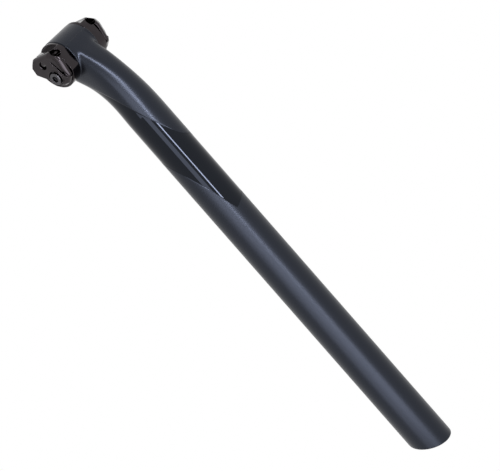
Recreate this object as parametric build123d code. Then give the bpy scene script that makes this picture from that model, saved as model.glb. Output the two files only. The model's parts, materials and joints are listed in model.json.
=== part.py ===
from build123d import *
import math
import os

# Driving dimensions, in mm. The tube runs up +Z, the bicycle's front is +Y and its right is +X.
tube_diameter = 31.6
tube_wall = 2.6
post_length = 398.0          # along the tube, from the middle of its cut end to the barrel's axis
setback = 20.0               # from the tube's axis back to the barrel's axis
bend_radius = 96.0           # of the neck's centre line
head_lean = 27.5             # degrees that the neck leans back where it meets the barrel
neck_lead = 8.0              # straight tube below the bend that already narrows
neck_inset = 0.4             # neck's sides inside the barrel's ends
neck_waist = 0.5             # hollow of the neck's rear side, halfway up
neck_step = 0.6              # neck's front inside the barrel's round
cut_slope = 0.53             # rise of the cut end for each mm of depth
cut_bevel = 0.6              # bevel of the cut end's outer edge: on the cut and up the tube
cut_bevel_rise = 1.2
barrel_diameter = 35.4
barrel_length = 26.0
barrel_bore = 25.0
rim_chamfer = 0.6

rail_spacing = 44.0
rail_diameter = 7.0
rail_rise = 8.8              # height of the rails above the barrel's axis
parting_gap = 0.8            # between the two halves of a clamp with the rail in place
spigot_depth = 8.0
spigot_wall = 2.5
spigot_clearance = 0.06      # running fit in the barrel, on the radius
flange_inset = 0.2           # flange smaller than the barrel, on the radius
flange_chamfer = 0.5
cradle_floor = 3.4           # metal left between the cup of the cradle and the rail groove
front_flat = 15.4            # distance of the cradle's flat front from the barrel's axis
collar_width = 2.5           # full round of the cradle next to the barrel
crown_height = 14.2          # flat top of the clamps above the barrel's axis
crown_slope = 0.14           # fall of that top for each mm forwards

jaw_reach = 16.4             # from the barrel's axis to the jaw's rear and front
jaw_thickness = 5.4
jaw_corner = 3.5             # rounding of the jaw's outline
bevel_depth = 3.0            # slope around the jaw's outer face: along X and across
bevel_width = 2.4
heel_height = 3.4            # lowest part of the jaw, which bears on the cradle
slot_depth = 2.4
window_diameter = 6.6
window_back = 1.5            # window's centre behind and above the barrel's axis
window_up = 7.2

bolt_diameter = 6.0
bolt_forward = 1.2           # bolt's axis in front of and below the barrel's axis
bolt_drop = 6.2
bolt_hole_clearance = 0.3    # on the radius
head_diameter = 10.0
head_height = 3.4
head_chamfer = 0.4
hex_key = 5.0
hex_key_depth = 2.4
washer_diameter = 12.2
washer_thickness = 1.0
recess_clearance = 0.3       # around the washer and the nut
recess_depth = 3.0
nut_width = 10.0
nut_height = 4.0
thread_clearance = 0.03      # on the radius

# Sizes that follow from them
tube_radius = tube_diameter / 2
barrel_radius = barrel_diameter / 2
barrel_end = barrel_length / 2
cut_rise = tube_diameter * cut_slope
barrel_height = post_length - cut_rise / 2
lean = math.radians(head_lean)
neck_taper = tube_radius - (barrel_end - neck_inset)
neck_flare = barrel_radius - neck_step - tube_radius
bend_run = bend_radius * lean
straight_run = (setback - bend_radius * (1 - math.cos(lean))) / math.sin(lean)
neck_run = bend_run + straight_run
neck_rise = bend_radius * math.sin(lean) + straight_run * math.cos(lean)
bend_base = barrel_height - neck_rise
neck_base = bend_base - neck_lead
flange_radius = barrel_radius - flange_inset
spigot_radius = barrel_bore / 2 - spigot_clearance
rail_x = rail_spacing / 2
rail_radius = rail_diameter / 2
cradle_face = rail_x - parting_gap / 2
cup_floor = rail_x - rail_radius - cradle_floor
jaw_face = rail_x + parting_gap / 2
jaw_outer = jaw_face + jaw_thickness
recess_floor = jaw_outer - recess_depth
head_seat = recess_floor + washer_thickness
head_top = head_seat + head_height
nut_end = -recess_floor - nut_height
bolt_radius = bolt_diameter / 2
hole_radius = bolt_radius + bolt_hole_clearance
barrel_place = Pos(0, -setback, barrel_height)
bolt_place = Pos(0, bolt_forward, -bolt_drop)


def rod(radius, start, end):
    """Round rod along X from start to end."""
    return Pos(start, 0, 0) * extrude(Plane.YZ * Circle(radius), end - start)


def hex_bar(width, start, end):
    """Six-sided bar along X from start to end, given across its flats."""
    shape = RegularPolygon(width / 2, 6, major_radius=False)
    return Pos(start, 0, 0) * extrude(Plane.YZ * shape, end - start)


def neck_section(part_way, inset=0.0):
    """Closed curve across the neck, round at the tube and squarer at the barrel."""
    run = part_way * (neck_run + neck_lead) - neck_lead
    turned = min(max(run, 0), bend_run)
    angle = turned / bend_radius
    beyond = run - turned
    back = bend_radius * (1 - math.cos(angle)) + beyond * math.sin(angle)
    up = bend_base + bend_radius * math.sin(angle) + beyond * math.cos(angle)
    bent = max(run, 0) / neck_run
    width = tube_radius - neck_taper * math.sin(math.pi / 2 * part_way) ** 1.3 - inset
    front = tube_radius + neck_flare * bent ** 4 - inset
    rear = front - neck_waist * math.sin(math.pi * bent) ** 2
    power = 2 / (2 + 3 * bent ** 3)
    points = []
    for degrees in range(0, 360, 15):
        across = math.cos(math.radians(degrees))
        along = math.sin(math.radians(degrees))
        depth = front if along > 0 else rear
        u = width * math.copysign(abs(across) ** power, across)
        v = depth * math.copysign(abs(along) ** power, along)
        points.append((u, v * math.cos(angle) - back, v * math.sin(angle) + up))
    return make_face(Spline(*points, periodic=True))


def make_neck(top, inset=0.0):
    """Loft of the neck's sections, from the tube's circle to the given part of its length."""
    count = 9
    sections = [neck_section(top * (i + 1) / count, inset) for i in range(count)]
    return loft([Pos(0, 0, neck_base) * Circle(tube_radius - inset)] + sections)


def make_tube(radius):
    """Straight rod inside or outside the tube, with its lower end cut slanting."""
    tube = extrude(Pos(0, 0, -cut_rise) * Circle(radius), neck_base + cut_rise)
    tilt = math.degrees(math.atan(cut_slope))
    below = Pos(0, 0, -tube_diameter) * Box(3 * tube_diameter, 3 * tube_diameter, 2 * tube_diameter)
    return tube - Pos(0, 0, -cut_rise / 2) * Rot(-tilt, 0, 0) * below


def make_post():
    """Tube, neck and barrel as one hollow moulding."""
    tube = make_tube(tube_radius)
    cut = tube.faces().sort_by(Axis.Z)[0]
    tube = chamfer(cut.edges(), cut_bevel, cut_bevel_rise, reference=cut)
    barrel = Rot(90, 0, 0) * rod(barrel_radius, -barrel_end, barrel_end)
    barrel = chamfer(barrel.edges().filter_by(GeomType.CIRCLE), rim_chamfer)
    bore = barrel_place * rod(barrel_bore / 2, -barrel_length, barrel_length)
    hollow = make_tube(tube_radius - tube_wall) + make_neck(0.6, tube_wall)
    return tube + make_neck(1.0) + barrel_place * barrel - bore - hollow


def rail_rod():
    """Saddle rail on the right, as a cutter."""
    bar = extrude(Plane.XZ * Circle(rail_radius), 2 * jaw_reach, both=True)
    return Pos(rail_x, 0, rail_rise) * bar


def make_cradle():
    """Right-hand seat: a cup in the barrel, a flange against it and half of the rail groove.
    Past a round collar its top is cut off level with the jaw's."""
    flange = rod(flange_radius, barrel_end, cradle_face)
    flange = chamfer(flange.edges().filter_by(GeomType.CIRCLE), flange_chamfer)
    spigot = rod(spigot_radius, barrel_end - spigot_depth, barrel_end)
    cup = rod(spigot_radius - spigot_wall, 0, cup_floor)
    ahead = Box(4 * rail_x, barrel_diameter, 2 * barrel_diameter)
    ahead = Pos(0, front_flat + barrel_radius, 0) * ahead
    tilt = math.degrees(math.atan(crown_slope))
    upwards = (Align.MIN, Align.CENTER, Align.MIN)
    above = Box(2 * rail_x, 3 * barrel_diameter, barrel_diameter, align=upwards)
    above = Pos(barrel_end + collar_width, 0, crown_height) * Rot(-tilt, 0, 0) * above
    hole = bolt_place * rod(hole_radius, 0, rail_spacing)
    return flange + spigot - cup - ahead - above - rail_rod() - hole


def jaw_outline():
    """Side view of the jaw: a flat sloping top, round in front, cut off slanting at its lower rear."""
    corners = [(0.95, 0.53), (1.03, 0.17), (0.80, -0.70), (0.36, -0.92)]
    corners += [(0.03, -0.91), (-1.04, 0.22), (-0.95, 0.73)]
    points = [(jaw_reach * y, jaw_reach * z) for y, z in corners]
    points += [(jaw_reach * y, crown_height - crown_slope * jaw_reach * y) for y in (-0.58, 0.54)]
    sheet = make_face(Polyline(*points, close=True))
    return fillet(sheet.vertices(), jaw_corner)


def make_jaw():
    """Right-hand jaw: the other half of the rail groove, with a window onto it."""
    outline = Plane.YZ * jaw_outline()
    block = Pos(jaw_face, 0, 0) * extrude(outline, jaw_thickness)
    outer = block.faces().sort_by(Axis.X)[-1]
    block = chamfer(outer.edges(), bevel_width, bevel_depth, reference=outer)
    heel = Pos(cradle_face, 0, 0) * extrude(outline, parting_gap)
    heel_top = heel.bounding_box().min.Z + heel_height
    above = Pos(rail_x, 0, heel_top + jaw_reach) * Box(rail_x, 4 * jaw_reach, 2 * jaw_reach)
    corners = [(0.50, 0.39), (0.57, 0.39), (0.81, -0.58), (0.69, -0.64)]
    slot = make_face(Polyline(*[(jaw_reach * y, jaw_reach * z) for y, z in corners], close=True))
    slot = Pos(jaw_outer - slot_depth, 0, 0) * extrude(Plane.YZ * slot, slot_depth)
    window = Pos(0, -window_back, window_up) * rod(window_diameter / 2, rail_x, jaw_outer)
    hole = bolt_place * rod(hole_radius, 0, jaw_outer)
    return block + (heel - above) - slot - rail_rod() - window - hole


def make_bolt():
    """Socket-head bolt across both clamps, with its head on the right."""
    shank = rod(bolt_radius, nut_end, head_seat)
    head = rod(head_diameter / 2, head_seat, head_top)
    head = chamfer(head.edges().filter_by(GeomType.CIRCLE).sort_by(Axis.X)[-1:], head_chamfer)
    return shank + head - hex_bar(hex_key, head_top - hex_key_depth, head_top)


def make_washer():
    """Round washer under the bolt's head."""
    return rod(washer_diameter / 2, recess_floor, head_seat) - rod(hole_radius, recess_floor, head_seat)


def make_nut():
    """Six-sided nut in the left jaw."""
    return hex_bar(nut_width, nut_end, -recess_floor) - rod(bolt_radius + thread_clearance, nut_end, 0)


cradle = make_cradle()
jaw = make_jaw()
washer_recess = bolt_place * rod(washer_diameter / 2 + recess_clearance, recess_floor, jaw_outer)
nut_recess = bolt_place * hex_bar(nut_width + 2 * recess_clearance, -jaw_outer, -recess_floor)
bolt_place = barrel_place * bolt_place
parts = {
    "post": make_post(),
    "inner_cradle_right": barrel_place * cradle,
    "inner_cradle_left": barrel_place * mirror(cradle, about=Plane.YZ),
    "outer_clamp_right": barrel_place * (jaw - washer_recess),
    "outer_clamp_left": barrel_place * (mirror(jaw, about=Plane.YZ) - nut_recess),
    "clamp_bolt": bolt_place * make_bolt(),
    "bolt_washer": bolt_place * make_washer(),
    "clamp_nut": bolt_place * make_nut(),
}

os.makedirs("parts", exist_ok=True)
for name, solid in parts.items():
    export_step(solid, f"parts/{name}.step")
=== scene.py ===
import json
from math import cos, pi, radians, sin

import bmesh
import bpy
import numpy as np
from mathutils import Matrix, Vector


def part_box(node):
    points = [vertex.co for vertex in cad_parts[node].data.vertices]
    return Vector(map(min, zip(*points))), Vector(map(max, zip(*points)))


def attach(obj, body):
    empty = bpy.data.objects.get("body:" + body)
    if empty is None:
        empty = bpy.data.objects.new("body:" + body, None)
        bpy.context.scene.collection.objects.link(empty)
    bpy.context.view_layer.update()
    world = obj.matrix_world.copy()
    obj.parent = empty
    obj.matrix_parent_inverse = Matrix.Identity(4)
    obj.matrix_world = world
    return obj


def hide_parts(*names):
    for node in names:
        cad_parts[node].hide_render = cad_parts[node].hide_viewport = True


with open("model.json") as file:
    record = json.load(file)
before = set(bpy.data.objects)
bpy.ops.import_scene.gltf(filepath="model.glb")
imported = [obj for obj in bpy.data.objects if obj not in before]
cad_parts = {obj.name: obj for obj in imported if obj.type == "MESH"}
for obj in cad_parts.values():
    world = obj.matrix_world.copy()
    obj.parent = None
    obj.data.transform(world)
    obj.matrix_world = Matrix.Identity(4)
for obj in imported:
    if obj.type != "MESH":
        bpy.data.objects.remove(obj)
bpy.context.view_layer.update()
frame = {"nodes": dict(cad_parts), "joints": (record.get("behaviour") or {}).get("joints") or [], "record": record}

# The post: tube, bent neck and cross barrel are one hollow carbon moulding, cured in a closed mould.
# Its paint is a matt black lacquer, and a slanting band of clear gloss is masked and sprayed over
# the front of the neck. The seat tube holds the long straight part, whose lower end is cut slanting.
mm = 0.001
tiny = 1e-6
mounts = {mount["name"]: mount for mount in frame["record"]["mounts"]}
barrel_axis = frame["joints"][0]["pos_m"]
tube_radius = mounts["seat_tube_insert"]["dims"]["r_mm"] * mm
tube_wall = 2.6 * mm
cut_slope = 0.53
lip_radius = 0.8 * mm
lip_chamfer = 0.2 * mm
lip_depth = 0.3 * mm
setback = -barrel_axis[1]
barrel_height = barrel_axis[2]
barrel_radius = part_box("post")[1].z - barrel_height
barrel_end = 13.0 * mm
barrel_bore = 12.5 * mm
rim_chamfer = 0.6 * mm
bend_radius = 96.0 * mm
head_lean = radians(27.5)
neck_lead = 8.0 * mm
neck_inset = 0.4 * mm
neck_step = 0.6 * mm
neck_waist = 0.5 * mm
neck_blend = 2.2 * mm
hollow_share = 0.6
bend_run = bend_radius * head_lean
straight_run = (setback - bend_radius * (1 - cos(head_lean))) / sin(head_lean)
neck_run = bend_run + straight_run
bend_base = barrel_height - bend_radius * sin(head_lean) - straight_run * cos(head_lean)
unpainted_run = -1.0


def grid_faces(rows, columns, start=0):
    """Quads between neighbouring rows of a grid whose columns close on themselves."""
    row, column = np.mgrid[0:rows - 1, 0:columns]
    here = start + row * columns + column
    right = start + row * columns + (column + 1) % columns
    return np.stack([here, right, right + columns, here + columns], -1).reshape(-1, 4)


def add_piece(name, points, faces):
    """Mesh object at the origin from arrays of points and faces, shaded smooth."""
    mesh = bpy.data.meshes.new(name)
    mesh.from_pydata(points.reshape(-1, 3).tolist(), [], faces.tolist())
    mesh.shade_smooth()
    piece = bpy.data.objects.new(name, mesh)
    bpy.context.scene.collection.objects.link(piece)
    return piece


def neck_wall(run, turn, inset):
    """Centres, and vectors from them to the wall, at distances run past the start of the bend and for
    angles turn from the right side. The centre line is straight, then an arc, then straight again.
    Each section across it is a superellipse, which narrows towards the barrel and goes from round to
    nearly square."""
    narrowing, deepening, squaring = 1.3, 4, 3
    round_exponent, square_exponent = 2, 5
    run = np.asarray(run)[:, None]
    turned = np.clip(run, 0, bend_run)
    angle = turned / bend_radius
    beyond = run - turned
    back = bend_radius * (1 - np.cos(angle)) + beyond * np.sin(angle)
    up = bend_base + bend_radius * np.sin(angle) + beyond * np.cos(angle)
    bent = np.clip(run / neck_run, 0, 1)
    led = np.clip((run + neck_lead) / (neck_run + neck_lead), 0, 1)
    narrowed = np.sin(pi / 2 * led) ** narrowing
    width = tube_radius + (barrel_end - neck_inset - tube_radius) * narrowed - inset
    front = tube_radius + (barrel_radius - neck_step - tube_radius) * bent ** deepening - inset
    rear = front - neck_waist * np.sin(pi * bent) ** 2
    power = 2 / (round_exponent + (square_exponent - round_exponent) * bent ** squaring)
    across, along = np.cos(turn), np.sin(turn)
    u = width * np.sign(across) * np.abs(across) ** power
    v = np.where(along > 0, front, rear) * np.sign(along) * np.abs(along) ** power
    side = np.stack(np.broadcast_arrays(u, v * np.cos(angle), v * np.sin(angle)), -1)
    centre = np.stack(np.broadcast_arrays(0 * u, -back + 0 * u, up + 0 * u), -1)
    return centre, side


def barrel_distance(points):
    """Distance from points to the barrel, a cylinder across the post, negative inside it."""
    radial = np.hypot(points[..., 1] + setback, points[..., 2] - barrel_height) - barrel_radius
    axial = np.abs(points[..., 0]) - barrel_end
    outside = np.hypot(np.maximum(radial, 0), np.maximum(axial, 0))
    return np.minimum(np.maximum(radial, axial), 0) + outside


def blended(centre, side, turn):
    """Wall points moved out to the soft union of neck and barrel, found by halving along each ray.
    The soft union is the lesser of the two distances, less a quarter of the blend width where they are
    alike and nothing where they differ by more than that width. The blend narrows off at the sides."""
    reach_out, halvings = 6 * mm, 24
    reach = np.linalg.norm(side, axis=-1)
    blend = neck_blend * np.abs(np.sin(turn)) ** 0.5 + tiny
    low, high = np.zeros_like(reach), np.full_like(reach, reach_out)
    for _ in range(halvings):
        middle = (low + high) / 2
        barrel = barrel_distance(centre + side * (1 + middle / reach)[..., None])
        overlap = np.maximum(blend - np.abs(middle - barrel), 0)
        union = np.minimum(middle, barrel) - overlap ** 2 / (4 * blend)
        low, high = np.where(union < 0, middle, low), np.where(union < 0, high, middle)
    return centre + side * (1 + low / reach)[..., None]


def cut_ring(radius, height, turn):
    """Ring round the tube at a height above its slanting cut."""
    x, y = radius * np.cos(turn), radius * np.sin(turn)
    return np.stack([x, y, height - cut_slope * (tube_radius + y)], -1)


def post_rows(turn):
    """Rows of the hollow tube and neck: down the inner wall, round the cut lip, up the outer wall and
    over a cap that slides to a pole inside the barrel's wall. Also gives each row's run along the centre
    line, and the number of rows that show bare carbon."""
    inner_top = hollow_share * (neck_run + neck_lead) - neck_lead
    hollow_from, hollow_to = -60 * mm, -300 * mm
    inner_neck = np.linspace(inner_top, -neck_lead, 24)
    inner_tube = np.linspace(hollow_from, hollow_to, 5)
    inner_centre, inner_side = neck_wall(np.append(inner_neck, inner_tube), turn, tube_wall)
    inner = inner_centre + inner_side
    pole_share = 0.02
    pole = inner_centre[:1] + pole_share * inner_side[:1]
    bore = tube_radius - tube_wall
    lip_turn = np.linspace(0, pi / 2, 7)
    lip = [cut_ring(bore, lip_depth, turn), cut_ring(bore + lip_chamfer, 0, turn)]
    lip += [cut_ring(tube_radius - lip_radius * (1 - sin(a)), lip_radius * (1 - cos(a)), turn)
            for a in lip_turn]
    cut_clearance, crease_run, crease_gap = 30 * mm, 24 * mm, 0.4 * mm
    tube_stop, neck_start = -neck_lead - 5 * mm, -neck_lead - 3 * mm
    outer_tube = np.linspace(cut_clearance - bend_base, tube_stop, 140)
    outer_neck = np.linspace(neck_start, neck_run - crease_run, 60)
    outer_crease = np.linspace(neck_run - crease_run + crease_gap, neck_run, 60)
    outer_run = np.concatenate([outer_tube, outer_neck, outer_crease])
    outer = blended(*neck_wall(outer_run, turn, 0.0), turn)
    last = outer[-1] - np.array([0, -setback, barrel_height])
    down = np.array([sin(head_lean), -cos(head_lean)])
    front = np.array([cos(head_lean), sin(head_lean)])
    cap_rim, cap_pole = 0.97, 0.03
    shrink = np.linspace(cap_rim, cap_pole, 8)[:, None]
    swing = np.arctan2(last[:, 1:] @ front, last[:, 1:] @ down) * shrink
    wall_radius = (barrel_radius + barrel_bore) / 2
    cap_yz = wall_radius * (np.cos(swing)[..., None] * down + np.sin(swing)[..., None] * front)
    cap = np.stack([last[:, 0] * shrink, cap_yz[..., 0] - setback, cap_yz[..., 1] + barrel_height], -1)
    rows = np.concatenate([pole, inner, np.stack(lip), outer, cap])
    inner_rows = len(pole) + len(inner)
    run = np.concatenate([np.full(inner_rows, unpainted_run), np.full(len(lip), -bend_base), outer_run,
                          np.full(len(cap), neck_run)])
    lip_rows_inside = 2
    return rows, run, inner_rows + lip_rows_inside


def band_distance(turn, run):
    """Signed distance inside the gloss band's outline, in metres, from the unrolled surface.
    The upper edge falls in a straight line and levels out past the front, and the lower edge is a
    parabola that falls to a round tip near the front. Both ends stop short of the rear. Heights here
    are in millimetres above the origin, and angles in degrees from the right side."""
    front, start, end = 90, -75, 205
    upper_side, upper_fall = 347, 0.62
    upper_front, upper_drift, upper_round = 292, 0.15, 6
    lower_side, lower_fall, lower_bend = 274, 0.45, 0.004
    tip_front, tip_rise, tip_round = 224, 0.11, 5
    edge_slope = 0.6
    angle = np.degrees((turn + pi / 2) % (2 * pi) - pi / 2)
    height = (run + bend_base) / mm

    def soft_max(first, second, width):
        """The greater value, raised by a quarter of the width where the two are alike."""
        overlap = np.maximum(width - np.abs(first - second), 0)
        return np.maximum(first, second) + overlap ** 2 / (4 * width)

    upper = soft_max(upper_side - upper_fall * angle,
                     upper_front - upper_drift * (angle - front), upper_round)
    lower = soft_max(lower_side - lower_fall * angle - lower_bend * angle ** 2,
                     tip_front + tip_rise * (angle - front), tip_round)
    arc = tube_radius / mm * pi / 180
    slant = np.hypot(1, edge_slope / arc)
    ends = np.minimum(angle - start, end - angle) * arc
    return np.minimum(np.minimum((upper - height) / slant, (height - lower) / slant), ends) * mm


def ring_profile(profile, columns, centre_y, centre_z):
    """Profile of distances along X and out from an axis along X, carried round that axis."""
    turn = np.linspace(0, 2 * pi, columns, endpoint=False)
    along, out = profile[:, :1], profile[:, 1:]
    y, z = out * np.cos(turn) + centre_y, out * np.sin(turn) + centre_z
    return np.stack(np.broadcast_arrays(along, y, z), -1)


wall_columns, barrel_columns = 192, 256
wall_turn = np.linspace(0, 2 * pi, wall_columns, endpoint=False)
wall_rows, wall_run, bare_rows = post_rows(wall_turn)
chamfer_low = barrel_radius - rim_chamfer
chamfer_end = -barrel_end + rim_chamfer
face_guard, crown_guard, crown_ease = 0.15 * mm, 0.2 * mm, 0.02 * mm
ease_along, ease_out = 0.05 * mm, 0.1 * mm
left_half = np.array([(-barrel_end, barrel_bore), (-barrel_end, chamfer_low - face_guard),
                      (-barrel_end, chamfer_low), (-barrel_end + ease_along, chamfer_low + ease_out),
                      (chamfer_end - ease_along, barrel_radius - ease_out),
                      (chamfer_end, barrel_radius - crown_ease),
                      (chamfer_end + crown_guard, barrel_radius)])
bore_line = [(barrel_end - crown_guard, barrel_bore), (-barrel_end + crown_guard, barrel_bore),
             (-barrel_end, barrel_bore)]
barrel_profile = np.concatenate([left_half, left_half[::-1] * [-1, 1], bore_line])
barrel_rows = ring_profile(barrel_profile, barrel_columns, -setback, barrel_height)
wall_faces = grid_faces(len(wall_rows), wall_columns)
barrel_faces = grid_faces(len(barrel_rows), barrel_columns, wall_rows.size // 3)
post = add_piece("post_moulding", np.concatenate([wall_rows.reshape(-1, 3), barrel_rows.reshape(-1, 3)]),
                 np.concatenate([wall_faces, barrel_faces]))
bare = np.zeros(len(wall_faces) + len(barrel_faces), dtype=np.int32)
bare[:bare_rows * wall_columns] = 1
post.data.polygons.foreach_set("material_index", bare)

# The distance inside the gloss, kept on each point: the band on the wall, and the barrel's polished rims.
outside_gloss, inside_gloss = -50 * mm, 1 * mm
wall_gloss = np.where(wall_run[:, None] > unpainted_run, band_distance(wall_turn, wall_run[:, None]),
                      outside_gloss)
on_chamfer = ((np.abs(barrel_profile[:, 0]) > -chamfer_end - tiny)
              & (barrel_profile[:, 1] > chamfer_low - tiny))
rim_gloss = np.repeat(np.where(on_chamfer, inside_gloss, outside_gloss), barrel_columns)
band_layer = post.data.attributes.new("band_edge", "FLOAT", "POINT")
band_layer.data.foreach_set("value", np.concatenate([wall_gloss.ravel(), rim_gloss]).astype(np.float32))
shell = bmesh.new()
shell.from_mesh(post.data)
bmesh.ops.holes_fill(shell, edges=[edge for edge in shell.edges if edge.is_boundary])
bmesh.ops.remove_doubles(shell, verts=shell.verts, dist=tiny)
bmesh.ops.recalc_face_normals(shell, faces=shell.faces)
shell.to_mesh(post.data)
shell.free()
post.data.shade_smooth()


def linear(code):
    """Linear colour from an sRGB hex code."""
    values = [int(code[i:i + 2], 16) / 255 for i in (1, 3, 5)]
    return [v / 12.92 if v <= 0.04045 else ((v + 0.055) / 1.055) ** 2.4 for v in values] + [1.0]


def add_node(tree, kind, settings=(), inputs=(), links=()):
    """Node of a kind with its settings, socket values and links from other nodes' outputs.
    A colour mix has its two colours on sockets 6 and 7, and its result on output 2."""
    node = tree.nodes.new(kind)
    for name, value in dict(settings).items():
        setattr(node, name, value)
    for name, value in dict(inputs).items():
        node.inputs[name].default_value = value
    for name, output in dict(links).items():
        tree.links.new(output, node.inputs[name])
    return node


def new_material(name, settings):
    """Material with one Principled shader that has these socket values."""
    material = bpy.data.materials.new(name)
    material.use_nodes = True
    shader = material.node_tree.nodes["Principled BSDF"]
    for socket, value in settings.items():
        shader.inputs[socket].default_value = value
    return material, material.node_tree, shader


# Matt two-pack lacquer: its fine dull grain gives broad, cool highlights, and the neck is rubbed a little
# smoother by handling. The clear gloss band is smooth enough to mirror the lamps as sharp lines and looks
# darker beside them. The matt coat stands up slightly round it.
def matt_and_gloss_lacquer():
    """Lacquer that goes from matt to gloss over a narrow edge, by the distance inside the band."""
    matt_level, gloss_level = 0.43, 0.27
    fresh_rough, rubbed_rough, gloss_rough, grain_rough = 0.34, 0.26, 0.05, 0.02
    rubbed_from, rubbed_to = 250 * mm, 370 * mm
    mask_edge, step_edge, step_height = 0.1 * mm, 0.45 * mm, 0.18 * mm
    # The real grain is much finer, and this is as coarse as it needs to be to show.
    grain_size = 0.5 * mm
    material, tree, shader = new_material("matt_and_gloss_lacquer", {
        "IOR": 1.5, "Specular IOR Level": matt_level, "Specular Tint": linear("#DAE5FF")})
    place = add_node(tree, "ShaderNodeTexCoord")
    edge = add_node(tree, "ShaderNodeAttribute", {"attribute_name": "band_edge"})
    mask = add_node(tree, "ShaderNodeMapRange", {"interpolation_type": "SMOOTHSTEP"},
                    {"From Min": -mask_edge, "From Max": mask_edge}, {"Value": edge.outputs["Fac"]})
    level = add_node(tree, "ShaderNodeMapRange", {}, {"To Min": matt_level, "To Max": gloss_level},
                     {"Value": mask.outputs["Result"]})
    tree.links.new(level.outputs["Result"], shader.inputs["Specular IOR Level"])
    grain = add_node(tree, "ShaderNodeTexNoise", {}, {"Scale": 1 / grain_size, "Detail": 2.0},
                     {"Vector": place.outputs["Object"]})
    height = add_node(tree, "ShaderNodeSeparateXYZ", {}, {}, {"Vector": place.outputs["Object"]})
    rubbed = add_node(tree, "ShaderNodeMapRange", {"interpolation_type": "SMOOTHSTEP"},
                      {"From Min": rubbed_from, "From Max": rubbed_to,
                       "To Min": fresh_rough, "To Max": rubbed_rough}, {"Value": height.outputs["Z"]})
    matt = add_node(tree, "ShaderNodeMath", {"operation": "MULTIPLY_ADD"}, {1: grain_rough},
                    {0: grain.outputs["Fac"], 2: rubbed.outputs["Result"]})
    rough = add_node(tree, "ShaderNodeMix", {}, {"B": gloss_rough},
                     {"Factor": mask.outputs["Result"], "A": matt.outputs["Value"]})
    tree.links.new(rough.outputs["Result"], shader.inputs["Roughness"])
    colour = add_node(tree, "ShaderNodeMix", {"data_type": "RGBA"},
                      {6: linear("#090A0D"), 7: linear("#070809")}, {"Factor": mask.outputs["Result"]})
    tree.links.new(colour.outputs[2], shader.inputs["Base Color"])
    step = add_node(tree, "ShaderNodeMapRange", {"interpolation_type": "SMOOTHSTEP"},
                    {"From Min": -step_edge, "From Max": step_edge}, {"Value": edge.outputs["Fac"]})
    sunk = add_node(tree, "ShaderNodeBump", {"invert": True}, {"Strength": 1.0, "Distance": step_height},
                    {"Height": step.outputs["Result"]})
    tree.links.new(sunk.outputs["Normal"], shader.inputs["Normal"])
    return material


# Bare carbon inside the tube and on the cut end: fibres that run along the tube show as fine dark
# streaks under a half-gloss skin of resin.
def bare_carbon():
    """Carbon whose streaks are noise stretched along the tube, in colour, gloss and height alike."""
    # Real fibres are far thinner, and these are as wide as they need to be to show.
    fibre_width, fibre_length, ridge_height = 0.5 * mm, 18 * mm, 0.1 * mm
    smooth_resin, dull_resin = 0.30, 0.48
    material, tree, shader = new_material("bare_carbon", {"Specular IOR Level": 0.5})
    place = add_node(tree, "ShaderNodeTexCoord")
    stretch = add_node(tree, "ShaderNodeMapping", {},
                       {"Scale": (1 / fibre_width, 1 / fibre_width, 1 / fibre_length)},
                       {"Vector": place.outputs["Object"]})
    fibres = add_node(tree, "ShaderNodeTexNoise", {}, {"Scale": 1.0, "Detail": 3.0},
                      {"Vector": stretch.outputs["Vector"]})
    streaks = add_node(tree, "ShaderNodeMix", {"data_type": "RGBA"},
                       {6: linear("#101113"), 7: linear("#2A2B2E")}, {"Factor": fibres.outputs["Fac"]})
    tree.links.new(streaks.outputs[2], shader.inputs["Base Color"])
    resin = add_node(tree, "ShaderNodeMapRange", {}, {"To Min": smooth_resin, "To Max": dull_resin},
                     {"Value": fibres.outputs["Fac"]})
    tree.links.new(resin.outputs["Result"], shader.inputs["Roughness"])
    ridges = add_node(tree, "ShaderNodeBump", {}, {"Strength": 0.4, "Distance": ridge_height},
                      {"Height": fibres.outputs["Fac"]})
    tree.links.new(ridges.outputs["Normal"], shader.inputs["Normal"])
    return material


post.data.materials.append(matt_and_gloss_lacquer())
post.data.materials.append(bare_carbon())
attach(post, "seatpost")
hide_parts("post")


# Inner cradles and outer clamps: forged and milled aluminium, polished and black anodised.
# The cradles turn in the barrel's ends and carry the rails, and the jaws outside them close on the rails.
def mottled_metal(name, roughness, dark, light, spot_size, detail):
    """Metal of one roughness whose colour wanders between two shades in spots of a size."""
    material, tree, shader = new_material(name, {"Metallic": 1.0, "Roughness": roughness})
    place = add_node(tree, "ShaderNodeTexCoord")
    spots = add_node(tree, "ShaderNodeTexNoise", {}, {"Scale": 1 / spot_size, "Detail": detail},
                     {"Vector": place.outputs["Object"]})
    shade = add_node(tree, "ShaderNodeMix", {"data_type": "RGBA"}, {6: linear(dark), 7: linear(light)},
                     {"Factor": spots.outputs["Fac"]})
    tree.links.new(shade.outputs[2], shader.inputs["Base Color"])
    return material


def broken_edges(node, width, angle, body, material):
    """Copy of a solid with its sharp edges rounded to a small width, standing for that solid."""
    copy = bmesh.new()
    copy.from_mesh(frame["nodes"][node].data)
    bmesh.ops.remove_doubles(copy, verts=copy.verts, dist=tiny)
    bmesh.ops.dissolve_limit(copy, angle_limit=radians(0.6), verts=copy.verts, edges=copy.edges)
    mesh = bpy.data.meshes.new(node + "_finished")
    copy.to_mesh(mesh)
    copy.free()
    mesh.shade_smooth()
    piece = bpy.data.objects.new(node + "_finished", mesh)
    bpy.context.scene.collection.objects.link(piece)
    bevel = piece.modifiers.new("broken_edges", "BEVEL")
    bevel.width = width
    bevel.segments = 3
    bevel.use_clamp_overlap = False
    bevel.limit_method = "ANGLE"
    bevel.angle_limit = radians(angle)
    rounded = piece.modifiers.new("rounded_chamfers", "WEIGHTED_NORMAL")
    rounded.weight = 50
    mesh.materials.append(material)
    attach(piece, body)
    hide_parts(node)


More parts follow.
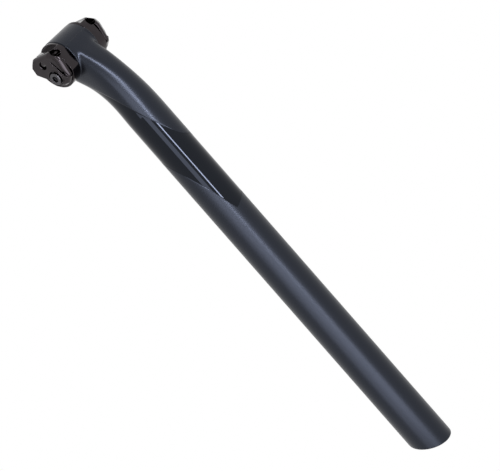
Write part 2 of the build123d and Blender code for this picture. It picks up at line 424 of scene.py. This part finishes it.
# Black anodising on polished aluminium gives a dark, slightly warm mirror, with soft clouds in the dye.
cloud_size = 6.0 * mm
anodised = mottled_metal("black_anodised_aluminium", 0.13, "#322F31", "#3D393B", cloud_size, 3.0)
cradle_edge, jaw_edge, milled_angle = 0.2 * mm, 0.45 * mm, 58
for side in ("right", "left"):
    for piece, edge_width in (("inner_cradle", cradle_edge), ("outer_clamp", jaw_edge)):
        broken_edges(f"{piece}_{side}", edge_width, milled_angle, "clamp_head", anodised)

# The raised rim of the bolt's seat: a bead left standing round the spot face in the right jaw's outer
# face, of the same metal.
jaw_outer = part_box("outer_clamp_right")[1].x
bolt_centre = [(low + high) / 2 for low, high in zip(*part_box("clamp_bolt"))]
seat_radius, bead, bead_points, rim_columns = 6.7 * mm, 0.4 * mm, 16, 96
bead_turn = np.linspace(0, 2 * pi, bead_points, endpoint=False)
bead_profile = np.stack([jaw_outer + bead * np.sin(bead_turn), seat_radius + bead * np.cos(bead_turn)], -1)
rim_points = ring_profile(bead_profile, rim_columns, bolt_centre[1], bolt_centre[2])
rim_faces = grid_faces(bead_points + 1, rim_columns) % (bead_points * rim_columns)
seat_rim = add_piece("bolt_seat_rim", rim_points, rim_faces)
seat_rim.data.materials.append(anodised)
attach(seat_rim, "clamp_head")

# Bolt, washer and nut: turned and cold-headed steel, blackened in hot oxide.
# One bolt through both clamps pulls them together on the rails.
# The oxide gives a duller and lighter black than the clamps', with tool marks drawn coarse enough to show.
tool_mark = 0.4 * mm
oxide = mottled_metal("black_oxide_steel", 0.22, "#48474A", "#5A595C", tool_mark, 2.0)
turned_edge, turned_angle = 0.15 * mm, 25
for node in ("clamp_bolt", "bolt_washer", "clamp_nut"):
    broken_edges(node, turned_edge, turned_angle, "clamp_head", oxide)

# The floor: a wide pale sheet far enough below the post that its shadow stays out of the picture.
# It looks white to the camera and in reflections, and takes the lamps' light everywhere else.
floor_drop = 0.5
floor_size = 30.0
floor_corners = floor_size / 2 * np.array([(-1, -1, 0), (1, -1, 0), (1, 1, 0), (-1, 1, 0)])
floor = add_piece("floor", floor_corners - np.array([0, 0, floor_drop]), np.array([[0, 1, 2, 3]]))


def white_where_seen(tree, elsewhere, white_kind, output_kind):
    """Surface that is plain white to camera, glossy and transmission rays, and another shader elsewhere."""
    path = add_node(tree, "ShaderNodeLightPath")
    mirrored = add_node(tree, "ShaderNodeMath", {"operation": "MAXIMUM"}, {},
                        {0: path.outputs["Is Camera Ray"], 1: path.outputs["Is Glossy Ray"]})
    seen = add_node(tree, "ShaderNodeMath", {"operation": "MAXIMUM"}, {},
                    {0: mirrored.outputs[0], 1: path.outputs["Is Transmission Ray"]})
    white = add_node(tree, white_kind, {}, {"Color": linear("#FFFFFF"), "Strength": 1.0})
    mixed = add_node(tree, "ShaderNodeMixShader", {}, {},
                     {0: seen.outputs[0], 1: elsewhere.outputs[0], 2: white.outputs[0]})
    add_node(tree, output_kind, {}, {}, {"Surface": mixed.outputs[0]})


# Pale matt paper gives an even white with no gloss.
paper = bpy.data.materials.new("pale_floor")
paper.use_nodes = True
paper.node_tree.nodes.clear()
pale = add_node(paper.node_tree, "ShaderNodeBsdfDiffuse", {}, {"Color": linear("#E8E8E6")})
white_where_seen(paper.node_tree, pale, "ShaderNodeEmission", "ShaderNodeOutputMaterial")
floor.data.materials.append(paper)

# The background: an even white studio wall all round, as the camera and reflections see it.
# Elsewhere it is a dim grey fill, so that the lamps shape the post.
world = bpy.data.worlds.new("studio")
bpy.context.scene.world = world
world.use_nodes = True
world.node_tree.nodes.clear()
fill = add_node(world.node_tree, "ShaderNodeBackground", {}, {"Color": linear("#C8CCD2"), "Strength": 0.2})
white_where_seen(world.node_tree, fill, "ShaderNodeBackground", "ShaderNodeOutputWorld")

# The lamps: a bright narrow strip beside the camera and a dim panel to its left, which the gloss mirrors,
# three broad panels above and below them for the matt tube, and two softboxes for the leaning neck.
# All are nearly white, and together they light a plain colour about as it is written.
lamp_colour = "#F4F6FF"
tube_lamp_distance, neck_lamp_distance = 0.95, 0.85
neck_middle = (0, -0.01, 0.33)


def add_lamp(name, azimuth, elevation, distance, width, height, radiance, target):
    """Rectangular lamp that faces the target from a direction, with the radiance of its face."""
    data = bpy.data.lights.new(name, "AREA")
    data.shape = "RECTANGLE"
    data.size = width
    data.size_y = height
    data.energy = radiance * pi * width * height
    data.color = linear(lamp_colour)[:3]
    lamp = bpy.data.objects.new(name, data)
    az, el = radians(azimuth), radians(elevation)
    out = Vector((cos(el) * cos(az), cos(el) * sin(az), sin(el)))
    lamp.location = Vector(target) + distance * out
    lamp.rotation_euler = out.to_track_quat("Z", "Y").to_euler()
    lamp.visible_camera = False
    bpy.context.scene.collection.objects.link(lamp)


add_lamp("strip", azimuth=63.5, elevation=0, distance=tube_lamp_distance,
         width=0.09, height=0.30, radiance=31.0, target=(0, 0, 0.22))
add_lamp("panel", azimuth=36, elevation=0, distance=tube_lamp_distance,
         width=0.36, height=0.24, radiance=3.4, target=(0, 0, 0.17))
add_lamp("upper_panel", azimuth=27, elevation=0, distance=tube_lamp_distance,
         width=0.60, height=0.32, radiance=2.7, target=(0, 0, 0.43))
add_lamp("lower_left_panel", azimuth=20, elevation=0, distance=tube_lamp_distance,
         width=0.50, height=0.40, radiance=2.6, target=(0, 0, -0.13))
add_lamp("lower_right_panel", azimuth=54, elevation=0, distance=tube_lamp_distance,
         width=0.62, height=0.40, radiance=4.4, target=(0, 0, -0.13))
add_lamp("tall_softbox", azimuth=70, elevation=29, distance=neck_lamp_distance,
         width=0.14, height=0.40, radiance=20.0, target=neck_middle)
add_lamp("low_softbox", azimuth=61, elevation=9, distance=neck_lamp_distance,
         width=0.28, height=0.24, radiance=10.5, target=neck_middle)

# The camera: a long lens on the front right, a little above the post's middle.
# It is rolled so that the post runs across the picture from corner to corner.
camera_azimuth = radians(52.85)
camera_elevation = radians(6.49)
camera_roll = radians(41.2)
aim = Vector((4.9, 3.5, 198.9)) * mm
view_width = 376.2 * mm
camera_data = bpy.data.cameras.new("camera")
camera_data.lens = 300.0
camera = bpy.data.objects.new("camera", camera_data)
back = Vector((cos(camera_elevation) * cos(camera_azimuth), cos(camera_elevation) * sin(camera_azimuth),
               sin(camera_elevation)))
level_right = Vector((-sin(camera_azimuth), cos(camera_azimuth), 0))
level_up = back.cross(level_right)
right = cos(camera_roll) * level_right - sin(camera_roll) * level_up
up = cos(camera_roll) * level_up + sin(camera_roll) * level_right
camera_distance = view_width * camera_data.lens / camera_data.sensor_width
turned = Matrix((right, up, back)).transposed().to_4x4()
camera.matrix_world = Matrix.Translation(aim + camera_distance * back) @ turned
bpy.context.scene.collection.objects.link(camera)
bpy.context.scene.camera = camera
bpy.context.scene.view_settings.view_transform = "Standard"
